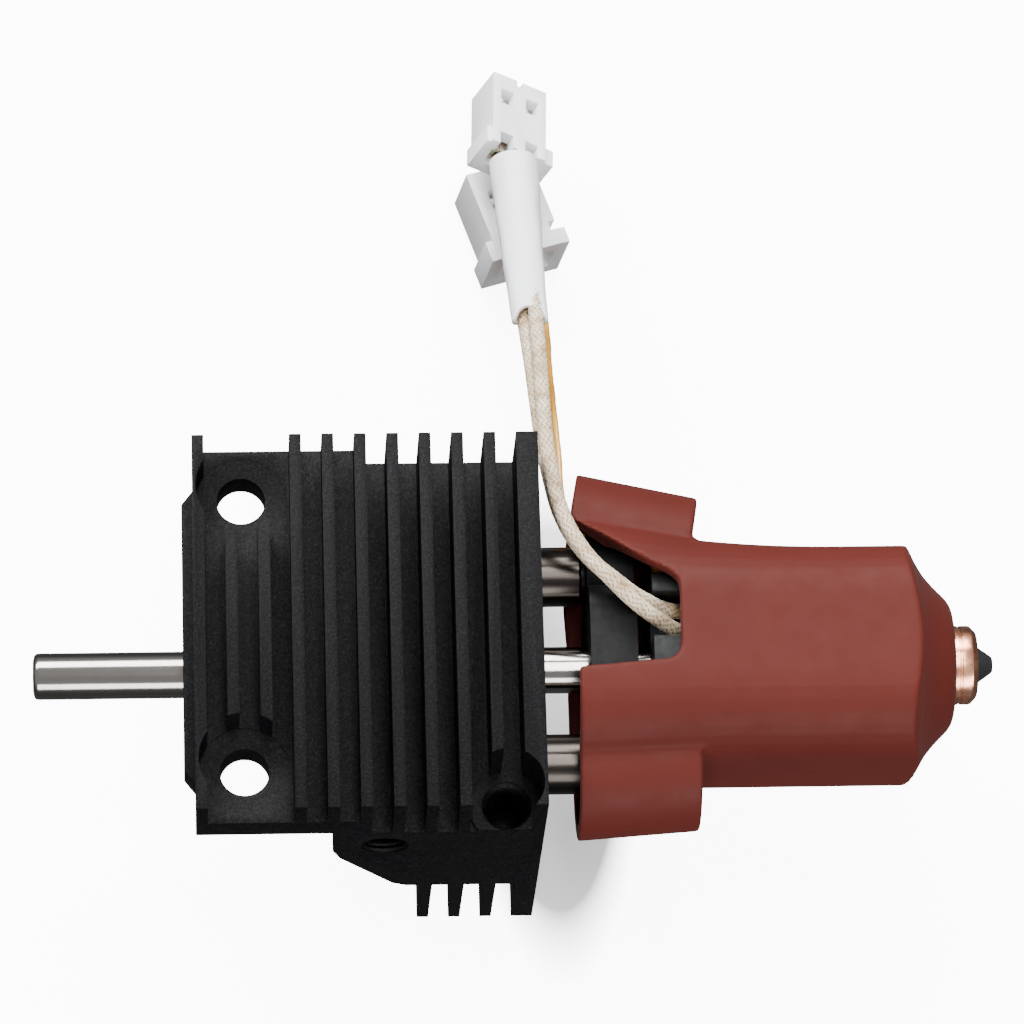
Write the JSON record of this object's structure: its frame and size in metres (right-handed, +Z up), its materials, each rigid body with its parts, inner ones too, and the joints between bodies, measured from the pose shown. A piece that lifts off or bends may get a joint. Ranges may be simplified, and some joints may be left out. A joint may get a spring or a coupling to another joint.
{
  "type": "hotend assembly",
  "caption": "Printer hotend with a finned heatsink, silicone-sleeved hot block, copper nozzle, and heater and sensor leads with plugs.",
  "frame": {"origin": "centre of the assembly's bounding box, leads left out, on the surface it lies on", "axes": "+X along the tube towards the nozzle tip, +Z up from the surface through the rear fins to the front fins, +Y across towards the side the leads leave from"},
  "size_m": [0.0618, 0.0564, 0.024],
  "materials": {
    "anodised": "bead-blasted black anodised aluminium",
    "tube_steel": "polished stainless steel",
    "black_steel": "black oxide steel",
    "copper": "bright copper",
    "hot_metal": "dull grey, heat toned",
    "ceramic": "white alumina",
    "silicone": "matt red-brown silicone",
    "braid": "cream glass-fibre braid",
    "amber_film": "amber film insulation",
    "white_sleeve": "white shrink sleeve",
    "nylon": "white nylon",
    "tinned": "tinned crimp contact"
  },
  "bodies": {
    "cold_side": {"heatsink": "anodised", "standoff_upper": "tube_steel", "standoff_lower": "tube_steel", "standoff_screw_upper": "black_steel", "standoff_screw_lower": "black_steel", "carrier_plate": "black_steel", "heater_block": "hot_metal", "ceramic_heater": "ceramic", "sensor_capsule": "tube_steel", "heater_lead_a": "braid", "heater_lead_b": "braid", "shrink_sleeve": "white_sleeve", "heater_connector": "nylon", "heater_terminal_a": "tinned", "heater_terminal_b": "tinned", "sensor_lead_a": "amber_film", "sensor_lead_b": "amber_film", "sensor_connector": "nylon", "sensor_terminal_a": "tinned", "sensor_terminal_b": "tinned"},
    "nozzle_unit": {"heatbreak_tube": "tube_steel", "nozzle_body": "copper", "nozzle_tip": "black_steel"},
    "clamp_screw": {"set_screw": "black_steel"},
    "sock": {"silicone_sock": "silicone"}
  },
  "joints": [
    {"name": "nozzle_withdraw", "type": "slide", "parent": "cold_side", "child": "nozzle_unit", "axis": [1, 0, 0], "range_m": [0, 0.058]},
    {"name": "clamp_screw_back_out", "type": "slide", "parent": "cold_side", "child": "clamp_screw", "axis": [0, -1, 0], "range_m": [0, 0.0105]},
    {"name": "sock_pull_off", "type": "slide", "parent": "cold_side", "child": "sock", "axis": [1, 0, 0], "range_m": [0, 0.029]}
  ]
}
